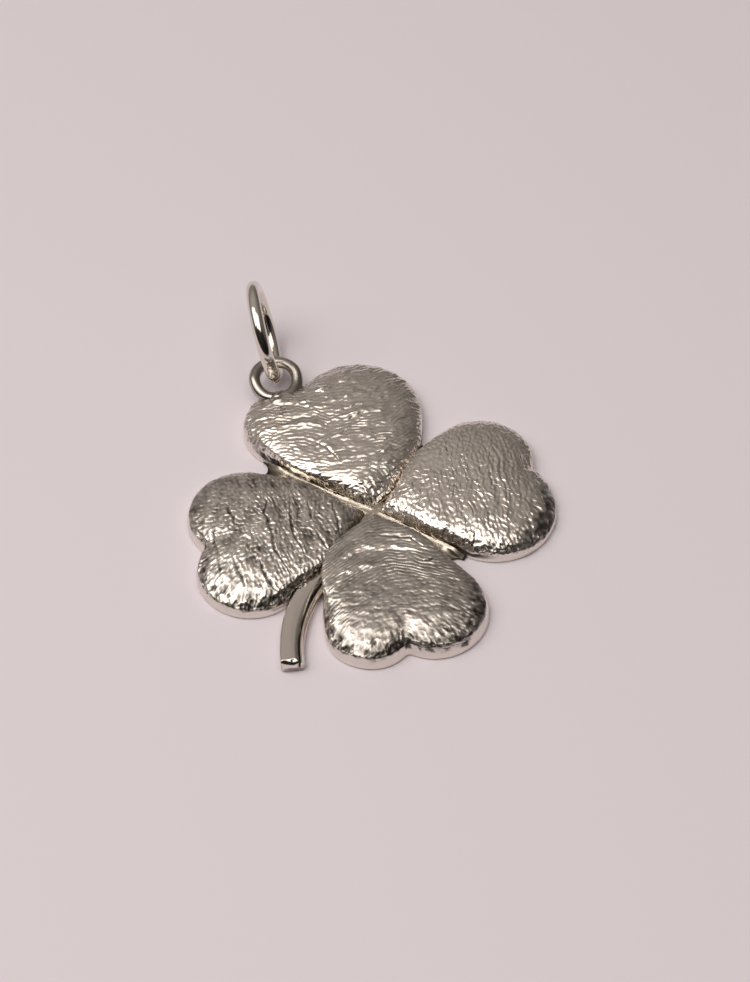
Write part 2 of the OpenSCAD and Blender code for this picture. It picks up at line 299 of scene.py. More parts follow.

# tip is the leaf's point near the middle, dome its height above the walls, domeP the first power
# of its curve, and notchR rounds the notch between the two lobes;
# a lobe is radius, reach, spread, flare, flatness of the side that runs to it;
# heading is the way the bark's lines run, in degrees from the leaf's own x, and bend is how
# strongly they drop on the low and on the high side of middle, and over which width;
# fine is the pitch of the lines, their spread in degrees and their depth, and linesEnd is how far
# along the leaf they go, 99 for all the way; terrace is the width and height of the steps;
# maze, lump, crack, cells and strokes are the heights or depths of those forms;
# drop lowers the rim, sink is a direction, a half width in degrees and how much lower the rim is
# there (higher below 0), and the number after it is how much painted shade darkens that stretch near the
# rim; polish is how bare
# the silver is; furrows, creases and ridges are drawn, each through a few listed places
leaves = {
    "leafTop": {
        "turn": 4, "tip": (0.03, -0.14), "dome": 1.15, "domeP": 4.6, "notchR": 3.15, "seed": 11,
        "right": (4.36, 7.83, 2.74, 0.12, 1.47), "left": (3.24, 8.71, 2.09, 0.12, 7.4),
        "heading": -9, "bend": (0.45, 0.3, 2.0), "middle": -0.5,
        "fine": (0.32, 26, 0.017), "linesEnd": 99, "terrace": (1.1, 0.085),
        "maze": 0.0, "lump": 0.04, "crack": 0.0, "cells": 0.0, "strokes": 0.05,
        "drop": 0.16, "sink": (192, 42, 0.22), "rimShade": 0.9, "polish": 0.64,
        "creases": [],
        "ridges": [
            [(0.5, 10.2), (1.6, 10.0)], [(2.3, 10.4), (3.1, 10.2)], [(-2.1, 11.3), (-1.0, 11.0)],
            [(-2.6, 10.3), (-1.2, 9.9), (-0.4, 8.7), (0.5, 8.5)], [(0.4, 8.8), (1.6, 8.7), (4.2, 8.3)],
            [(-4.6, 8.4), (-3.1, 8.1), (-1.9, 7.7), (-0.4, 6.9)], [(0.6, 7.1), (2.7, 7.0), (3.7, 6.6)],
        ],
        "furrows": [[(-1.5, 5.6), (-1.1, 5.2), (-0.8, 4.3), (-0.7, 3.7)], [(4.8, 8.2), (6.1, 8.3)]],
    },
    "leafRight": {
        "turn": -99, "tip": (0.6, 0.57), "dome": 1.15, "domeP": 3.4, "notchR": 0.45, "seed": 23,
        "right": (4.25, 8.27, 1.89, 0.12, 7.4), "left": (3.53, 8.36, 2.21, 0.12, 10.7),
        "heading": -6, "bend": (0, 0, 1), "middle": 0.0,
        "fine": (0.31, 24, 0.01), "linesEnd": 99, "terrace": (1.7, 0.0),
        "maze": 0.014, "lump": 0.035, "crack": 0.008, "cells": 0.02, "strokes": 0.015,
        "drop": 0.14, "sink": (52, 40, 0.2), "rimShade": 0.7, "polish": 0.68,
        "creases": [
            [(-1.4, 8.9), (-0.5, 8.4), (0.5, 8.5), (1.6, 8.2)], [(0.9, 9.0), (1.9, 9.2), (2.9, 9.0)],
            [(-0.9, 7.5), (-0.1, 7.6), (0.9, 7.3)], [(-1.7, 6.3), (-2.0, 7.1), (-2.3, 7.9), (-2.5, 8.4)],
            [(-0.8, 6.8), (0.2, 6.9), (1.2, 6.6)], [(-3.3, 6.0), (-2.5, 6.1), (-2.0, 5.7)],
            [(-1.0, 6.1), (0.1, 5.9), (1.2, 5.6), (1.7, 6.3)], [(-0.8, 3.1), (-0.1, 3.0), (0.7, 3.1)],
            [(-1.1, 4.6), (-0.2, 4.5), (0.5, 4.2)], [(-0.8, 5.0), (0.3, 4.8)],
            [(0.9, 7.5), (1.6, 7.7), (2.0, 8.2)], [(-2.0, 10.5), (-0.7, 10.4), (0.4, 10.0)],
            [(-0.2, 10.5), (1.2, 10.3), (2.6, 10.1)], [(0.1, 10.9), (1.5, 10.8), (2.7, 10.6)],
            [(0.7, 11.2), (1.9, 11.1)], [(2.2, 6.5), (3.0, 6.6), (3.6, 6.3)], [(3.0, 7.7), (3.7, 7.4)],
            [(2.9, 8.6), (3.9, 8.6)], [(3.1, 9.6), (3.7, 9.3)], [(3.2, 10.2), (4.1, 10.2)],
        ],
        "ridges": [],
        "furrows": [
            [(-2.8, 9.2), (-2.0, 9.4), (-1.3, 9.5), (-0.3, 9.2), (0.5, 9.2), (1.4, 9.3), (2.4, 9.2)],
            [(-2.6, 11.1), (-1.6, 11.1), (-0.6, 10.9)],
        ],
    },
    "leafBottom": {
        "turn": -195, "tip": (-0.12, 1.09), "dome": 1.08, "domeP": 7, "notchR": 0.45, "seed": 37,
        "right": (2.84, 10.3, 1.17, 0.195, 1.83), "left": (3.49, 9.06, 3.27, 0.555, 5.9),
        "heading": 0, "bend": (0.9, 1.9, 2.2), "middle": -1.0,
        "fine": (0.28, 16, 0.014), "linesEnd": 6.8, "terrace": (1.3, 0.0),
        "maze": 0.005, "lump": 0.02, "crack": 0.0, "cells": 0.0, "strokes": 0.01,
        "drop": 0.14, "sink": (118, 75, -0.22), "rimShade": 0.45, "polish": 0.4,
        "creases": [],
        "ridges": [
            [(2.4, 5.3), (1.1, 4.5), (-1.1, 4.7), (-2.7, 5.1)],
            [(3.4, 7.9), (2.4, 6.5), (1.2, 6.2), (-0.4, 6.2)],
        ],
        "furrows": [[(-0.2, 3.6), (-2.3, 4.0), (-3.2, 5.0)], [(-3.0, 6.2), (-3.8, 5.9)]],
    },
    "leafLeft": {
        "turn": 94, "tip": (-0.57, 0.71), "dome": 1.15, "domeP": 4.4, "notchR": 0.45, "seed": 41,
        "right": (3.6, 8.36, 2.85, 0.18, 5.5), "left": (3.6, 9.59, 1.63, 0.18, 7.1),
        "heading": -7, "bend": (0, 0, 1), "middle": 0.0,
        "fine": (0.29, 22, 0.011), "linesEnd": 99, "terrace": (1.1, 0.0),
        "maze": 0.014, "lump": 0.035, "crack": 0.014, "cells": 0.016, "strokes": 0.025,
        "drop": 0.12, "sink": (168, 45, 0.12), "rimShade": 0.5, "polish": 0.41,
        "creases": [],
        "ridges": [],
        "furrows": [
            [(3.2, 6.7), (2.4, 6.7), (1.6, 7.2), (0, 7.4), (-1.7, 7.9), (-4.0, 7.7)],
            [(1.9, 5.2), (0.9, 5.6), (-0.8, 6.2), (-2.9, 6.2)], [(3.3, 9.2), (1.5, 9.5)],
            [(3.3, 10.5), (2.3, 10.7), (1.2, 11.3), (-0.7, 11.6), (-2.5, 12.3)],
            [(-0.1, 10.4), (-1.3, 10.7), (-3.5, 10.9), (-4.3, 11.5)],
            [(-2.0, 9.1), (-3.1, 9.3), (-4.6, 9.2)], [(1.2, 4.1), (-0.4, 4.6)],
            [(-1.4, 4.7), (-3.1, 4.6)], [(0.6, 2.6), (-1.8, 3.1)],
        ],
    },
}


def meeting(p, r, q, s, side):
    # where circle p, r crosses circle q, s, on the left of the way from p to q for side 1
    d = np.linalg.norm(q - p)
    a = (r * r - s * s + d * d) / (2 * d)
    u = unit(q - p)
    return p + u * a + side * math.sqrt(r * r - a * a) * np.array([-u[1], u[0]])


def arcPoints(c, p, q, turn, count=240):
    # round c from p to q, anticlockwise for turn 1, without the last point
    a, b = math.atan2(*(p - c)[::-1]), math.atan2(*(q - c)[::-1])
    sweep = turn * ((turn * (b - a)) % (2 * math.pi))
    t = a + sweep * np.arange(count) / count
    return c + np.linalg.norm(p - c) * np.stack([np.cos(t), np.sin(t)], -1)


def lobeArcs(leaf, key, side):
    # a lobe's middle and radius, the middle of the side arc that runs from the tip to it, and the
    # place where the two are tangent; side is 1 for the right lobe and -1 for the left one
    radius, reach, spread, _, flatness = leaf[key]
    tip, lobe = np.array(leaf["tip"]), np.array([side * spread, reach])
    sideR = flatness * (np.linalg.norm(lobe - tip) + radius) / 2
    middle = meeting(tip, sideR, lobe, sideR - radius, side)
    return lobe, radius, middle, middle + sideR * unit(lobe - middle)


def heartOutline(leaf, count):
    # two lobes, a small notch arc between them and a side arc from each to the tip,
    # joined where they are tangent, then spaced evenly along the whole line
    tip = np.array(leaf["tip"])
    right, rightR, rightSide, rightJoin = lobeArcs(leaf, "right", 1)
    left, leftR, leftSide, leftJoin = lobeArcs(leaf, "left", -1)
    notch = meeting(right, rightR + leaf["notchR"], left, leftR + leaf["notchR"], -1)
    notchRight, notchLeft = right + rightR * unit(notch - right), left + leftR * unit(notch - left)
    arcs = [(rightSide, tip, rightJoin, 1), (right, rightJoin, notchRight, 1),
            (notch, notchRight, notchLeft, -1), (left, notchLeft, leftJoin, 1), (leftSide, leftJoin, tip, 1)]
    line = np.concatenate([*(arcPoints(*arc) for arc in arcs), tip[None]])
    run = np.concatenate([[0], np.cumsum(np.linalg.norm(np.diff(line, axis=0), axis=1))])
    even = np.linspace(0, run[-1], count, endpoint=False)
    return np.stack([np.interp(even, run, line[:, k]) for k in (0, 1)], -1)


def waves(x, y, pitch, spread, seed):
    # nine plane waves of nearly one pitch, their crests spread evenly within spread degrees of
    # the x axis: a narrow spread gives wavy lines, a wide one a maze; about -1 to 1
    draw = np.random.default_rng(seed)
    pitches = pitch * draw.permutation(np.linspace(0.84, 1.2, 9))
    total = 0
    for k in range(9):
        a = math.radians(90 + spread * (k - 4) / 4)
        turns = 2 * math.pi / pitches[k]
        total = total + np.cos(turns * (x * math.cos(a) + y * math.sin(a)) + draw.uniform(0, 6.28))
    return np.tanh(0.62 * total)


def alongLines(lines, x, y, wide):
    # 1 on each line, fading like a bell over wide on both sides and tapering to both ends
    best = np.zeros(x.shape)
    for line in lines:
        line = np.array(line, float)
        steps = np.linalg.norm(np.diff(line, axis=0), axis=1)
        before = np.concatenate([[0], np.cumsum(steps)])
        for k, step in enumerate(steps):
            (px, py), (dx, dy) = line[k], (line[k + 1] - line[k]) / step
            go = np.clip((x - px) * dx + (y - py) * dy, 0, step)
            d = np.hypot(x - px - go * dx, y - py - go * dy)
            taper = np.sin(np.pi * (0.04 + 0.92 * (before[k] + go) / before[-1])) ** 0.5
            best = np.maximum(best, taper * np.exp(-(d / (wide * taper)) ** 2))
    return best


def shaken(x, y, far, size, seed):
    # each place moved by up to far mm, by noise with lumps of the given size
    return x + far * noise(x, y, size, size, seed), y + far * noise(x, y, size, size, seed + 1)


def barkPlace(leaf, x, y):
    # leaf place x, y in the bark's own directions: t runs along its lines and s across them.
    # The lines drop on both sides of the middle as a hyperbola does, and slow noise bends both
    a = math.radians(leaf["heading"])
    t, s = x * math.cos(a) + y * math.sin(a), y * math.cos(a) - x * math.sin(a)
    off = t - leaf["middle"]
    low, high, wide = leaf["bend"]
    seed = leaf["seed"]
    s = s - np.where(off > 0, high, low) * (np.sqrt(1 + (off / wide) ** 2) - 1)
    s = s + 0.25 * noise(x, y, 2.7, 2.7, seed) + 0.11 * noise(x, y, 0.85, 0.85, seed + 1)
    t = t + 0.3 * noise(x, y, 1.5, 1.5, seed + 2)
    return t, s


def barkGrain(leaf, x, y, t, s):
    # relief in mm all over a leaf: wavy fine lines that fade here and there, pebbles where they
    # end, a maze, a net of cells and cracks, each of them a sum of waves, and round lumps
    look, seed = barkLook, leaf["seed"]
    pitch, spread, deep = leaf["fine"]
    calm = 0.6 + 0.4 * smooth(-0.45, 0.4, noise(t, s, 1.6, 0.8, seed + 3))
    ends = leaf["linesEnd"]
    lines = 1 - 0.6 * smooth(ends, ends + 1.2, y + 0.6 * noise(x, y, 1.2, 1.2, seed + 22))
    height = deep * calm * lines * waves(t, s, pitch, spread, seed + 4)
    height = height + 0.5 * deep * noise(t, s, 0.4, 0.16, seed + 5)
    pebbles = noise(x, y, 0.8, 0.28, seed + 23) + 0.6 * noise(x, y, 0.26, 0.15, seed + 24)
    height = height + look["pebbles"] * (1 - lines) * pebbles
    bentX, bentY = shaken(x, y, 0.1, 0.6, seed + 6)
    height = height + leaf["maze"] * calm * waves(bentX, bentY, look["mazePitch"], 84, seed + 8)
    net = smooth(0.5, 1, 1 - np.abs(waves(bentX, bentY, look["netPitch"], 78, seed + 27)))
    height = height + leaf["cells"] * net * smooth(-0.5, 0.1, noise(x, y, 1.8, 1.8, seed + 28))
    crack = smooth(0.6, 0.98, waves(t, s, look["crackPitch"], 10, seed + 14))
    height = height - leaf["crack"] * crack * smooth(-0.25, 0.2, noise(x, y, 1.1, 1.1, seed + 15))
    lumps = noise(t, s, 1.3, 0.7, seed + 12) + 0.5 * noise(t, s, 0.6, 0.45, seed + 13)
    return height + leaf["lump"] * lumps


def barkTerraces(leaf, t, s):
    # steps across the lines: each rises steeply on the side of low s, runs out slowly on the
    # other, and is broken up along its length
    wide, tall = leaf["terrace"]
    seed = leaf["seed"]
    phase = s / wide + 0.45 * noise(t, s, 1.8, 1.6, seed + 9) + 0.1 * noise(t, s, 0.45, 0.45, seed + 10)
    part = phase - np.floor(phase)
    saw = smooth(0, 0.26, part) * (1 - part) ** 1.3
    # 3.7 takes each step to noise of its own
    broken = noise(t, 3.7 * np.floor(phase), 0.85, 1, seed + 11) + 0.45 * noise(t, s, 0.4, 0.4, seed + 25)
    return tall * saw * (0.2 + 0.8 * smooth(-0.4, 0.6, broken))


def barkMarks(leaf, x, y):
    # relief of the lines drawn on a leaf: furrows with raised banks, shallower creases with
    # lips, and lumpy ridges; and how far each place is in a furrow and in a crease, 0 to 1
    look, seed = barkLook, leaf["seed"]
    wobbleX, wobbleY = shaken(x, y, 0.12, 0.6, seed + 16)
    furrow = alongLines(leaf["furrows"], wobbleX, wobbleY, look["furrowWide"])
    bank = alongLines(leaf["furrows"], wobbleX, wobbleY, look["bankWide"])
    crease = alongLines(leaf["creases"], wobbleX, wobbleY, look["creaseWide"])
    lip = alongLines(leaf["creases"], wobbleX, wobbleY, look["lipWide"])
    ridge = alongLines(leaf["ridges"], wobbleX, wobbleY, look["ridgeWide"])
    ridge = ridge * (0.7 + 0.7 * noise(x, y, 0.6, 0.4, seed + 18)).clip(0)
    height = look["bankTall"] * bank - look["furrowDeep"] * furrow
    height = height + look["lipTall"] * lip - look["creaseDeep"] * crease + look["ridgeTall"] * ridge
    return height, furrow, crease


def barkHeight(leaf, x, y, fromRim, front, strokes, streaks):
    # the whole relief in mm at leaf place x, y, and the share of bare silver there, which is low
    # in hollows. Close to the rim there are chunks and streaks along it at the clover's front,
    # and short strokes that run across it
    look, seed = barkLook, leaf["seed"]
    t, s = barkPlace(leaf, x, y)
    marks, furrow, crease = barkMarks(leaf, x, y)
    height = barkGrain(leaf, x, y, t, s) + barkTerraces(leaf, t, s) + marks
    near = smooth(1.0, 0.15, fromRim + 0.35 * noise(x, y, 0.6, 0.6, seed + 19))
    chunk = streaks + 0.6 * noise(x, y, 0.17, 0.17, seed + 21)
    height = height + look["chunk"] * near * front * chunk
    height = height + look["swell"] * smooth(3.2, 0.8, fromRim) * front * noise(x, y, 0.75, 0.6, seed + 26)
    height = height + leaf["strokes"] * smooth(1.7, 0.3, fromRim) * (0.3 + 0.7 * front) * strokes
    share = leaf["polish"] + look["wearPerMm"] * height - 0.05 * furrow - 0.2 * crease
    return height, np.clip(share, 0, 1)


def rimNoise(leaf, radius, size, step):
    # noise round the rim, laid on a circle of that radius so that it closes
    edge = np.linspace(0, 2 * np.pi, leafLook["around"], endpoint=False)
    x, y = radius * np.cos(edge), radius * np.sin(edge)
    return noise(x, y, size, size, leaf["seed"] + step)


def leafRim(leaf):
    # for each place round a leaf: its outline, direction and reach from the peak, the radius of a
    # circle as long as the outline, how far it faces the rough front, how free its wall stands, how
    # far it is in the sunken stretch, the rim's drop, the wall's top and how far its foot stands out
    look = leafLook
    outline = heartOutline(leaf, look["around"])
    way = outline - np.array([0.0, look["peak"]])
    reach = np.linalg.norm(way, axis=1)
    out = way / reach[:, None]
    radius = np.linalg.norm(np.roll(outline, -1, 0) - outline, axis=1).sum() / (2 * np.pi)
    aim = math.radians(look["front"] - leaf["turn"])
    front = smooth(-0.5, 0.5, out @ np.array([math.cos(aim), math.sin(aim)]))
    free = smooth(-0.1, 0.35, out[:, 1])
    middle, half, deep = leaf["sink"]
    aside = np.abs((np.degrees(np.arctan2(out[:, 1], out[:, 0])) - middle + 180) % 360 - 180)
    sunk = smooth(half, 0.3 * half, aside)
    drop = leaf["drop"] * (0.4 + 0.6 * front) + deep * sunk
    ragged = rimNoise(leaf, radius, 0.75, 30) + 0.6 * rimNoise(leaf, radius, 0.3, 31)
    top = look["wallTop"] - drop + look["rimRagged"] * (0.35 + 1.1 * front) * ragged
    side = np.clip(outline[:, 0] / look["lobeSpread"], -1, 1)
    flare = (leaf["right"][3] * (1 + side) + leaf["left"][3] * (1 - side)) / 2
    flare = flare * (look["flareSide"] + (1 - look["flareSide"]) * np.maximum(0, out[:, 1]))
    return {"outline": outline, "out": out, "reach": reach, "radius": radius, "front": front, "free": free,
            "sunk": sunk, "drop": drop, "top": top, "flare": flare}


def domeCurve(leaf):
    # for each ring its share of the way from the peak to the rim, its rise above the wall, which is
    # dome times (1 - share ^ domeP) ^ domeQ, and its distance from the peak along that curve,
    # which grows by equal steps
    def riseAt(share):
        return leaf["dome"] * (1 - share ** leaf["domeP"]).clip(0) ** leafLook["domeQ"]

    fine = 1 - np.linspace(1, 0, 4000) ** 2
    steps = np.hypot(np.diff(fine) * leafLook["halfWide"], np.diff(riseAt(fine)))
    run = np.concatenate([[0], np.cumsum(steps)])
    even = np.linspace(0, run[-1], leafLook["domeRows"] + 1)[1:]
    share = np.interp(even, run, fine)
    return share[:, None], riseAt(share)[:, None], even[:, None]


def leafDome(leaf, rim):
    # rings of points from the peak to the rim with the bark on them, and the share of bare silver
    # at each, lowered by painted shade near the rim on the sunken stretch. The rings turn from the
    # leaf's outline to an oval towards the peak, and the dome eases down to its sunken, ragged rim
    look = leafLook
    out, reach, drop = rim["out"], rim["reach"], rim["drop"]
    long = np.where(out[:, 1] > 0, look["ovalFar"], look["ovalNear"])
    oval = 1 / np.hypot(out[:, 0] / look["ovalWide"], out[:, 1] / long)
    share, rise, fromPeak = domeCurve(leaf)
    ring = share * (reach + (1 - share ** look["notchFade"]) * (oval - reach))
    ring = np.array([0.0, look["peak"]]) + ring[..., None] * out
    inside = ((1 - share) * reach / look["rimWide"]).clip(0, 1)
    fromRim = np.broadcast_to(fromPeak[-1] - fromPeak, inside.shape)
    z = look["wallTop"] + rise - drop * (1 - inside) ** 1.6
    z = z + (rim["top"] + drop - look["wallTop"]) * smooth(look["raggedIn"], 0.0, fromRim)
    dome = np.concatenate([ring, z[..., None]], -1)
    # normals of the plain dome, from differences along both ways of the grid
    normal = unit(np.cross(np.gradient(dome, axis=0), np.roll(dome, -1, 1) - np.roll(dome, 1, 1)))
    # the bark is laid out flat from the peak, so that it isn't stretched where the dome is steep
    flat = ring + ((fromPeak / look["halfWide"] - share) * look["halfWide"])[..., None] * out
    # strokes change slowly with the distance from the rim, so they run across it, and streaks fast
    across, along = rim["radius"] + 0.28 * fromRim, rim["radius"] + 2.2 * fromRim
    strokes = rimNoise(leaf, across, 0.24, 32) + 0.7 * rimNoise(leaf, across, 0.6, 33)
    streaks = rimNoise(leaf, along, 0.5, 20)
    height, bare = barkHeight(leaf, flat[..., 0], flat[..., 1], fromRim, rim["front"], strokes, streaks)
    # the relief gets lower at the rim and none is left at the peak
    height = height * smooth(-0.1, 0.12, fromRim) * smooth(0.0, 0.5, fromPeak)
    # painted shade: darker near the rim on the sunken stretch, made ragged by the streaks
    rimShade = smooth(0.8, 0.35, fromRim + 0.45 * streaks) * rim["sunk"]
    dome = dome + normal * height[..., None]
    push = smooth(look["flareIn"], 0.05, fromRim) * look["flareStart"] * rim["flare"]
    dome[..., :2] += push[..., None] * out
    return dome, bare * (1 - leaf["rimShade"] * rimShade)


def leafWall(leaf, rim):
    # rows from the rim down to the bevel and round it to the back. The wall stands out by its
    # flare, which grows fast below the rim, with a slight swell and dents where it is free
    look = leafLook
    out, start, bevel = rim["out"], look["flareStart"], look["bevel"]
    k = np.linspace(0, 1, look["wallRows"] + 1)[:, None]
    z = rim["top"] * (1 - k) + bevel * k
    dent = rimNoise(leaf, rim["radius"] + z, 0.9, 34) + 0.5 * rimNoise(leaf, rim["radius"] + z, 0.35, 35)
    dent = look["wallDent"] * (0.2 + 0.8 * rim["free"]) * (dent - 0.4) * np.sin(np.pi * (0.12 + 0.88 * k))
    bulge = rim["flare"] * (1 - (1 - start) * (1 - k) ** 1.6) + dent + look["wallSwell"] * np.sin(k * np.pi)
    wall = np.concatenate([rim["outline"] + bulge[..., None] * out, z[..., None]], -1)
    turn = np.linspace(0, np.pi / 2, look["bevelRows"] + 1)[1:, None, None]
    under = wall[-1, :, :2] - out * bevel * (1 - np.cos(turn))
    lift = np.broadcast_to(bevel * (1 - np.sin(turn)), (look["bevelRows"], len(out), 1))
    return np.concatenate([wall, np.concatenate([under, lift], -1)])


def buildLeaf(name, leaf):
    # rings from the top of the dome down over the rim, the wall and the bevel to the flat back
    look = leafLook
    rim = leafRim(leaf)
    dome, bare = leafDome(leaf, rim)
    grid = np.concatenate([dome[:-1], leafWall(leaf, rim)])
    count, around = grid.shape[:2]
    top, back = [0, look["peak"], look["wallTop"] + leaf["dome"]], [0, look["peak"], 0]
    points = turned(np.concatenate([grid.reshape(-1, 3), [top, back]]), leaf["turn"])
    # bark on the dome and wall, smooth silver on the bevel and the back
    smoothRow = np.arange(count - 1) >= look["domeRows"] + look["wallRows"]
    kind = np.concatenate([np.repeat(smoothRow, around), np.zeros(around), np.ones(around)])
    # walls beside the valleys are painted with shade, darkest at their top, and the free ones are rubbed
    # bright
    down = smooth(0.3, 0.8, np.linspace(0, 1.6, count - look["domeRows"]))[:, None]
    valleyWallShade = look["shadedTopTone"] + look["shadeFadeAtFoot"] * down
    wallWearAndShade = valleyWallShade * (1 - rim["free"]) + look["freeWear"] * rim["free"]
    wearAndShade = np.concatenate([bare.ravel(), wallWearAndShade.ravel(), [0.8, 0.7]])
    return addMesh(name, points, closedFaces(count, around), [barkSilver, smoothSilver], kind, wearAndShade)


pieces = []
for name, leaf in leaves.items():
    pieces.append(buildLeaf(name, leaf))
print("leaves made:", len(pieces))

# Smooth metal between the leaves

webLook = {
    "floor": 0.62,
    "low": 0.1,  # underside
    "hubR": 1.8,  # of the round middle
    "innerHalf": 0.8,  # half width of a valley at the middle
    "outerHalf": 1.6,  # and at its end
    "crotchR": 0.7,  # of the hollow in a valley's end
    "fillet": 0.07,  # height that the floor curves up to at a leaf's wall
    "filletWide": 0.5,
    "dent": 0.015,  # height of the floor's wide unevenness
    "ripple": 0.003,  # and of its fine one
    "endDrop": 0.45,  # the floor slopes down by this much to its edge
    "endWide": 1.4,
    "shadedEdgeTone": 0.1,  # painted shade at the edge, where the floor slopes down
    "innerWear": 0.85,  # nearly bare beyond the painted shade's width, which follows
    "edgeShadeWide": 1.3,
    "valleys": ((36, 6.86), (-60, 7.04), (134, 7.92), (221, 4.4)),  # direction in degrees, length
    "around": 900,
    "rows": 56,
}


def webReach(angle):
    # how far the web goes in each direction: the hub's circle, or along a valley to the
    # hollow in its end, beside which it stops level with the hollow's sides
    reach = np.full(angle.shape, webLook["hubR"])
    c = webLook["crotchR"]
    for direction, length in webLook["valleys"]:
        end = length + c
        t = np.abs((angle - math.radians(direction) + np.pi) % (2 * np.pi) - np.pi)
        lean = (webLook["outerHalf"] - webLook["innerHalf"]) / end
        across = np.sin(t) - lean * np.cos(t)
        side = np.where(across > 0, webLook["innerHalf"] / np.maximum(across, 1e-6), 1e6)
        hollow = end * np.cos(t) - np.sqrt(np.maximum(c * c - (end * np.sin(t)) ** 2, 0))
        beside = math.sqrt(end * end - c * c)
        way = np.where(end * np.sin(t) < c, hollow, np.minimum(side, beside))
        reach = np.maximum(reach, np.where(t < np.pi / 2, way, 0))
    return reach


def distanceTo(outline, x, y):
    # shortest distance from each place to a closed line, through all its short sides
    best = np.full(x.shape, np.inf)
    for p, q in zip(outline, np.roll(outline, -1, 0)):
        d = q - p
        t = np.clip(((x - p[0]) * d[0] + (y - p[1]) * d[1]) / (d @ d), 0, 1)
        best = np.minimum(best, np.hypot(x - p[0] - t * d[0], y - p[1] - t * d[1]))
    return best


def buildWeb():
    # rings round the middle of the clover, from the centre out to the web's edge and under it;
    # the floor curves up to each leaf's wall and slopes down to its own edge, which is painted dark as shade
    look = webLook
    angle = np.linspace(0, 2 * np.pi, look["around"], endpoint=False)
    reach = webReach(angle)
    k = np.linspace(0, 1, look["rows"] + 1)[1:, None]
    x, y = k * reach * np.cos(angle), k * reach * np.sin(angle)
    nearest = np.full(x.shape, np.inf)
    for leaf in leaves.values():
        outline = turned(heartOutline(leaf, 150), leaf["turn"])
        nearest = np.minimum(nearest, distanceTo(outline, x, y))
    z = look["floor"] + look["fillet"] * smooth(look["filletWide"], 0, nearest) ** 2
    z = z + look["dent"] * noise(x, y, 0.9, 0.9, 5) + look["ripple"] * noise(x, y, 0.3, 0.3, 6)
    left = (1 - k) * reach
    z = z - look["endDrop"] * smooth(look["endWide"], 0.0, left) ** 1.6
    rim = np.stack([x[-1], y[-1], np.full(angle.shape, look["low"])], -1)
    grid = np.concatenate([np.stack([x, y, z], -1), rim[None]])
    count, around = grid.shape[:2]
    points = np.concatenate([grid.reshape(-1, 3), [[0, 0, look["floor"]], [0, 0, look["low"]]]])
    # painted shade: darker towards the web's edge, and darkest on the rim under it
    edge, inner = look["shadedEdgeTone"], look["innerWear"]
    wearAndShade = (edge + (inner - edge) * smooth(0.0, look["edgeShadeWide"], left)).ravel()
    wearAndShade = np.concatenate([wearAndShade, np.full(around, edge), [inner, inner]])
    return addMesh("valleys", points, closedFaces(count, around), [satinSilver], wearAndShade=wearAndShade)


pieces.append(buildWeb())
print("valleys made")

# Stem

stemLook = {
    "width": 1.65,
    "height": 1.1,
    "low": 0.1,  # underside
    "bendR": 10.5,
    "middle": (0.616, -13.228),  # of the bend
    "fromDegrees": 103,  # direction from there to where the stem starts
    "length": 11.85,
    "roundR": 0.2,  # of the outer edge
    "camber": 0.02,  # the flat top is this much higher along its middle
    "grooveAt": 0.16,  # from the middle of the top to the groove along the inner edge
    "grooveWide": 0.4,
    "grooveDepth": 0.27,
    "beadR": 0.06,
    "bevelIn": 0.12,  # width of the bevel at the back
    "bevelUp": 0.1,
    "endLow": 0.55,  # height that is left at the cut end
    "endRound": 0.55,  # length over which the top rounds down to it
    "endBulge": 0.16,
    "endNarrow": 0.1,  # share of the width that is lost at the end
    "facets": 0.09,  # height of the end's facets
    "widthVaries": 0.02,  # share of the width
    "dent": 0.012,  # height of the top's long dents
    "ripple": 0.004,  # and of the fine lines along it
    "wearAndShade": 0.85,
    "wearVaries": 0.15,
    "oxideAndShade": 0.8,  # how much darker the groove is painted, for its oxide and its shade
    "innerShare": 0.45,  # share of that on the inner wall, there as painted shade
    "rows": 260,
}


def stemSection():
    # half width against height, anticlockwise from the lower outer corner: flat top with a
    # rounded outer edge, then a slope down into the groove and a thin bead along the inner edge
    w, h, low = stemLook["width"] / 2, stemLook["height"], stemLook["low"]
    r, b, g = stemLook["roundR"], stemLook["beadR"], stemLook["grooveAt"]
    a = np.linspace(-0.4, np.pi / 2, 12)
    outer = np.stack([w - r + r * np.cos(a), h - r + r * np.sin(a)], -1)
    across = np.linspace(w - r, -g, 16)[1:]
    flat = np.stack([across, h + stemLook["camber"] * np.sin(np.linspace(0, np.pi, 15))], -1)
    c = np.linspace(0, 1, 9)[1:]
    slope = np.stack([-g - stemLook["grooveWide"] * c, h - stemLook["grooveDepth"] * c ** 1.5], -1)
    d = np.linspace(0.25 * np.pi, np.pi, 10)
    bead = slope[-1] + [-0.6 * b, 0] + b * np.stack([np.cos(d), np.sin(d)], -1)
    # down the inner wall, then round the back with its two bevels
    beadFoot, bevel, lift = bead[-1, 1], stemLook["bevelIn"], stemLook["bevelUp"]
    foot = np.array([
        [-w + 0.08, beadFoot - 0.1], [-w, beadFoot - 0.25], [-w, low + 3 * lift],
        [-w + bevel / 4, low + lift], [-w + bevel, low], [w - bevel, low], [w - bevel / 4, low + lift],
    ])
    return np.concatenate([outer, flat, slope, bead, foot])


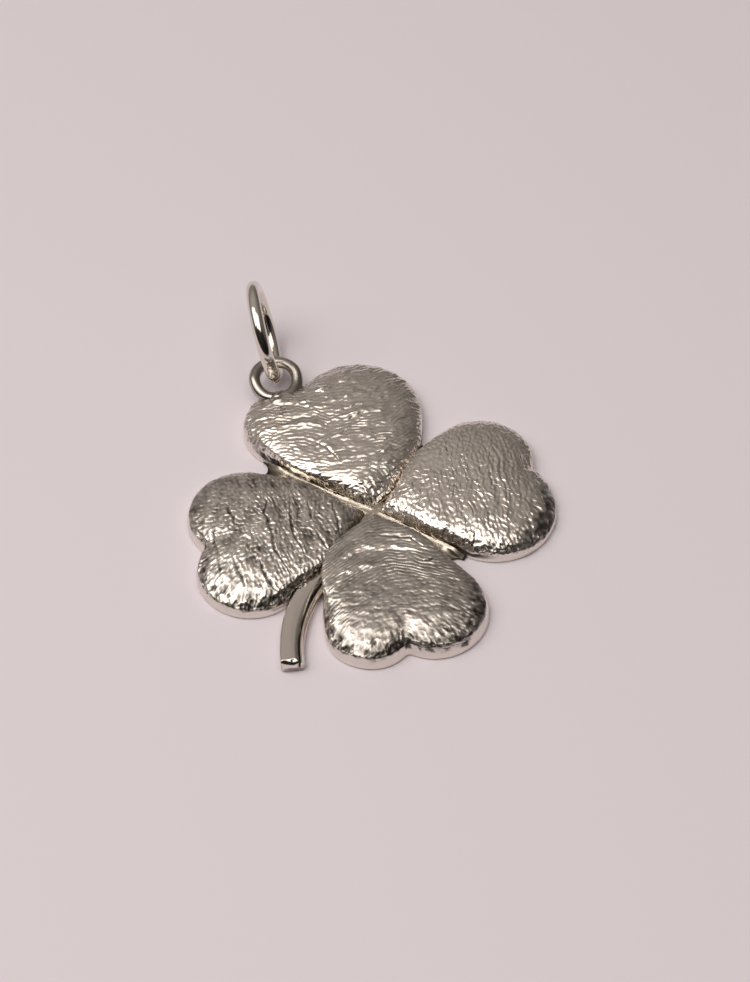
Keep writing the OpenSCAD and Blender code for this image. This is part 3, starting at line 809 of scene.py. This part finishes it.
def buildStem():
    # the section carried along the bend; at the free end the top rounds down in uneven facets
    # and the end wall bulges; the groove holds oxide and painted shade, and the inner wall painted shade
    look, section = stemLook, stemSection()
    off, up = section[:, 0], section[:, 1]
    s = look["length"] * (1 - (1 - np.linspace(0, 1, look["rows"])) ** 1.6)[:, None]
    into = np.clip((s - look["length"] + look["endRound"]) / look["endRound"], 0, 1)
    s = s - look["endBulge"] * into ** 2 * (off / (look["width"] / 2)) ** 2
    a = math.radians(look["fromDegrees"]) + s / look["bendR"]
    wide = 1 - look["endNarrow"] * into ** 3 + look["widthVaries"] * noise(s, 0.5, 1.7, 1, 61)
    radius = look["bendR"] + off * wide
    x, y = look["middle"][0] + np.cos(a) * radius, look["middle"][1] + np.sin(a) * radius
    dent = look["dent"] * noise(s, off, 1.6, 0.5, 62) + look["ripple"] * noise(s, off, 0.9, 0.12, 63)
    # the dents fade away down the sides
    top = up + dent * smooth(0.5, 0.9, up)
    limit = look["endLow"] + (look["height"] + 0.05 - look["endLow"]) * np.sqrt(1 - into ** 2)
    limit = limit + look["facets"] * noise(s, off, 0.42, 0.45, 64) * smooth(0.0, 0.5, into)
    grid = np.stack([x, y, np.minimum(top, limit)], -1)
    count, around = grid.shape[:2]
    middle = grid.mean(1)
    points = np.concatenate([grid.reshape(-1, 3), middle[:1], middle[-1:]])
    # 0 at the groove's upper edge and 1 at its bottom, beyond which the inner wall goes down
    across = (-off - look["grooveAt"]) / look["grooveWide"]
    # painted: oxide and shade in the groove, and painted shade on the inner wall
    oxideAndShade = smooth(0.1, 0.85, across) * (across < 1.01) + look["innerShare"] * (across > 1.3)
    wearAndShade = look["wearAndShade"] - look["oxideAndShade"] * oxideAndShade + look["wearVaries"] * noise(s, off, 1.2, 0.15, 65)
    wearAndShade = np.concatenate([wearAndShade.ravel(), [0.8, 0.8]])
    return addMesh("stem", points, closedFaces(count, around), [grooveSilver], wearAndShade=wearAndShade)


pieces.append(buildStem())

# Eye and jump ring

eyeLook = {
    "centre": (-2.395, 12.361, 1.713),
    "turn": 85.5,  # degrees from +X to the way out from the lobe
    "ringR": 1.5,  # to the middle of the wire
    "wireR": 0.4,
    "sink": 0.42,  # how far its inner side goes down into the neck
    "wearAndShade": 0.35,
    "rows": 160,
    "columns": 40,
}
neckLook = {
    "wide": 1.2,
    "long": 0.95,
    "back": 2.05,  # from the middle of the eye to the middle of the neck
    "low": 0.1,
    "top": 1.93,
    "square": 0.55,  # 1 is an egg shape, and less is nearer to a block
    "bumps": 0.07,  # height of the coarse relief
    "grit": 0.03,  # and of the fine one
    "wearAndShade": 0.4,
    "rows": 58,
    "around": 96,
}
ringLook = {
    "centre": (-2.229, 14.984, 3.725),
    "turn": 77,  # degrees about the upright
    "lean": 12,  # degrees from the upright
    "ringR": 3.27,  # to the middle of the wire
    "wireR": 0.48,
    "seamAt": 205,  # degrees round the ring
    "seamWide": 0.05,
    "seamDepth": 0.05,
    "rows": 360,
    "columns": 48,
}


def torus(ringR, wireR, rows, columns):
    # a wire's circle carried round the ring's circle; wireR is one number or one for each row
    a = np.linspace(0, 2 * np.pi, rows, endpoint=False)[:, None]
    b = np.linspace(0, 2 * np.pi, columns, endpoint=False)
    wire = np.broadcast_to(wireR, (rows, columns))
    out = ringR + wire * np.cos(b)
    return np.stack([out * np.cos(a), out * np.sin(a), wire * np.sin(b)], -1)


def buildEye():
    # a ring of wire that lies level and sinks into the neck on its inner side
    look = eyeLook
    ring = torus(look["ringR"], look["wireR"], look["rows"], look["columns"])
    ring[..., 2] -= look["sink"] * smooth(0.6, -1.2, ring[..., 0])
    points = turned(ring.reshape(-1, 3), look["turn"]) + np.array(look["centre"])
    faces = gridFaces(look["rows"], look["columns"], True)
    return addMesh("eye", points, faces, [grooveSilver], wearAndShade=np.full(len(points), look["wearAndShade"]))


def buildNeck():
    # a rounded block that joins the eye to the lobe: circles as wide as a power of a sine of the
    # angle from the top, with the bark's bumps on its upper side
    look = neckLook
    a = np.linspace(0, 2 * np.pi, look["around"], endpoint=False)
    b = np.linspace(0, np.pi, look["rows"] + 2)[1:-1, None]
    fat = np.sin(b) ** look["square"]
    x, y = -look["back"] + look["long"] * fat * np.cos(a), look["wide"] * fat * np.sin(a)
    bumps = look["bumps"] * noise(x, y, 0.3, 0.9, 71) + look["grit"] * noise(x, y, 0.16, 0.4, 72)
    z = (look["low"] + look["top"]) / 2 + (look["top"] - look["low"]) / 2 * np.cos(b)
    grid = np.stack([x, y, z + smooth(0.2, 0.7, np.cos(b)) * bumps], -1)
    ends = [[-look["back"], 0, look["top"]], [-look["back"], 0, look["low"]]]
    place = np.array([*eyeLook["centre"][:2], 0])
    points = turned(np.concatenate([grid.reshape(-1, 3), ends]), eyeLook["turn"]) + place
    faces = closedFaces(look["rows"], look["around"])
    return addMesh("eyeNeck", points, faces, [barkSilver], wearAndShade=np.full(len(points), look["wearAndShade"]))


def buildRing():
    # round wire bent to a ring, with a hairline groove where its ends meet
    look = ringLook
    degrees = np.linspace(0, 360, look["rows"], endpoint=False)
    off = np.radians((degrees - look["seamAt"] + 180) % 360 - 180) * look["ringR"]
    wire = look["wireR"] - look["seamDepth"] * np.exp(-(off / look["seamWide"]) ** 2)
    ring = torus(look["ringR"], wire[:, None], look["rows"], look["columns"])
    x, y, z = ring[..., 0], ring[..., 1], ring[..., 2]
    c, s = math.cos(math.radians(look["lean"])), math.sin(math.radians(look["lean"]))
    # upright: the ring's own x is outwards, its y is up and its axis is level; then it leans
    upright = np.stack([x, y * s - z * c, y * c + z * s], -1)
    points = turned(upright.reshape(-1, 3), look["turn"]) + np.array(look["centre"])
    return addMesh("jumpRing", points, gridFaces(look["rows"], look["columns"], True), [wireSilver])


pieces += [buildEye(), buildNeck()]
for piece in pieces:
    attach(piece, "root")
    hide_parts("clover")
jumpRing = buildRing()
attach(jumpRing, "root")
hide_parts("jump_ring")
print("stem, eye and ring made")

# Floor, light and camera

viewAway = np.array([0.356, 0.934, 0.0])  # level direction away from the camera
viewRight = np.array([0.934, -0.356, 0.0])

floorLook = {"paint": "#f4edf5", "sizeMm": 3000, "fleckMm": 20, "smoothest": 0.68, "roughest": 0.78}
# direction as so much away from the camera, to its right and up; size in mm; watts; colour
softboxes = {
    "overheadSoftbox": ((-0.22, -0.1, 1.0), (420, 300), 0.7, "#fff7f0"),
    "leftSoftbox": ((-0.05, -0.65, 1.0), (330, 300), 0.55, "#fff9f4"),
}
softboxAway = 420
# each share of the room's light grows or falls from the first direction to the second, between
# the two values that follow
roomLook = {
    "colour": "#fff3ea",
    "away": (-0.55, 0.1, 0.03, 0.4),
    "right": (-0.2, 0.7, 1.0, 0.48),
    "up": (0.2, 0.75, 0.6, 1.0),
}
cameraLook = {"place": (-53.0, -139.0, 187.0), "lensMm": 127.0, "sensorMm": 36.0, "shift": (0.0051, 0.0214)}


def facing(place, side):
    # the matrix of a lamp or camera at place that faces the middle of the clover: its z points
    # away from there, and its x is side, made square to z
    back = unit(place)
    side = unit(side - back * (side @ back))
    up = np.cross(back, side)
    return Matrix([(side[i], up[i], back[i], place[i]) for i in range(3)] + [(0, 0, 0, 1)])


def buildFloor():
    # Card with a matt coat: pale, with a soft gloss that varies a little
    look = floorLook
    paint = startMaterial("matt pale card")
    tree = paint.node_tree
    place = addNode(tree, "ShaderNodeTexCoord")
    fleck = addNode(tree, "ShaderNodeTexNoise", {},
                    {"Vector": place.outputs["Object"], "Scale": 1 / (look["fleckMm"] * mm), "Detail": 2})
    gloss = addNode(tree, "ShaderNodeMapRange", {},
                    {"Value": fleck.outputs["Fac"],
                     "To Min": look["smoothest"], "To Max": look["roughest"]})
    shader = addNode(tree, "ShaderNodeBsdfPrincipled", {},
                     {"Base Color": linear(look["paint"]), "Roughness": gloss.outputs["Result"]})
    addNode(tree, "ShaderNodeOutputMaterial", {}, {"Surface": shader.outputs["BSDF"]})
    half = look["sizeMm"] / 2
    corners = [[-half, -half, 0], [half, -half, 0], [half, half, 0], [-half, half, 0]]
    floor = addMesh("floor", corners, [[0, 1, 2, 3]], [paint])


def addSoftbox(name, direction, size, watts, colour):
    # an area light placed by its direction from the clover, facing it
    away, right, up = direction
    place = unit(away * viewAway + right * viewRight + np.array([0, 0, up])) * softboxAway * mm
    light = bpy.data.lights.new(name, "AREA")
    light.shape = "RECTANGLE"
    light.size, light.size_y = size[0] * mm, size[1] * mm
    light.energy = watts
    light.color = linear(colour)[:3]
    addToScene(name, light).matrix_world = facing(place, viewRight)


def buildWorld():
    # grey room: lit on the far side, on the left and high up, and dark behind the camera, on the
    # right and low down; the three shares are multiplied
    world = bpy.data.worlds.new("room")
    bpy.context.scene.world = world
    world.use_nodes = True
    tree = world.node_tree
    tree.nodes.clear()
    place = addNode(tree, "ShaderNodeTexCoord")
    light = 1.0
    for key, axis in (("away", viewAway), ("right", viewRight), ("up", (0, 0, 1))):
        start, end, first, last = roomLook[key]
        along = addNode(tree, "ShaderNodeVectorMath", {"operation": "DOT_PRODUCT"},
                        {0: place.outputs["Generated"], 1: tuple(axis)})
        share = addNode(tree, "ShaderNodeMapRange", {"interpolation_type": "SMOOTHSTEP"},
                        {"Value": along.outputs["Value"], "From Min": start, "From Max": end,
                         "To Min": first, "To Max": last})
        light = addNode(tree, "ShaderNodeMath", {"operation": "MULTIPLY"},
                        {0: light, 1: share.outputs["Result"]}).outputs["Value"]
    shine = addNode(tree, "ShaderNodeBackground", {},
                    {"Color": linear(roomLook["colour"]), "Strength": light})
    addNode(tree, "ShaderNodeOutputWorld", {}, {"Surface": shine.outputs["Background"]})


def addCamera():
    # a long lens at the photograph's viewing angle, aimed at the middle of the clover
    lens = bpy.data.cameras.new("photoCamera")
    lens.lens = cameraLook["lensMm"]
    lens.sensor_width = cameraLook["sensorMm"]
    lens.shift_x, lens.shift_y = cameraLook["shift"]
    lens.clip_start, lens.clip_end = 0.01, 10
    camera = addToScene("photoCamera", lens)
    place = np.array(cameraLook["place"]) * mm
    camera.matrix_world = facing(place, np.cross([0, 0, 1], place))
    bpy.context.scene.camera = camera


buildFloor()
buildWorld()
for name, look in softboxes.items():
    addSoftbox(name, *look)
addCamera()
bpy.context.scene.view_settings.view_transform = "Standard"
print("floor, light and camera set")
